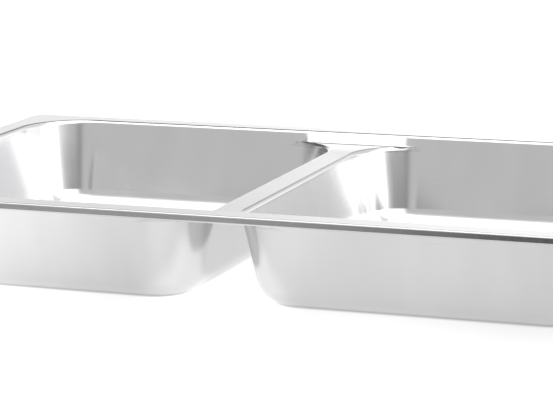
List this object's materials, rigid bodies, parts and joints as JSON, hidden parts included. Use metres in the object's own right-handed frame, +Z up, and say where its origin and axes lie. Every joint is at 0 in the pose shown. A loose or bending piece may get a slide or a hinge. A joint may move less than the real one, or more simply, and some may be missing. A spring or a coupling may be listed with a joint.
{
  "type": "two-compartment tray",
  "caption": "Shallow stainless steel tray with a flat hemmed rim round rounded, sloping wells that lie side by side and are parted by a narrow lowered bridge.",
  "frame": {"origin": "on the ground under the middle of the tray", "axes": "+X along the tray, across the bridge between the wells; +Y towards the rear rim; +Z up, out of the wells"},
  "size_m": [0.53, 0.325, 0.0635],
  "materials": {
    "steel": "satin",
    "weld": "satin"
  },
  "bodies": {
    "root": {"rim_frame": "steel", "bridge_plate": "steel", "left_basin": "steel", "right_basin": "steel", "left_bridge_weld": "weld", "right_bridge_weld": "weld", "front_bridge_weld": "weld", "rear_bridge_weld": "weld"}
  },
  "joints": []
}
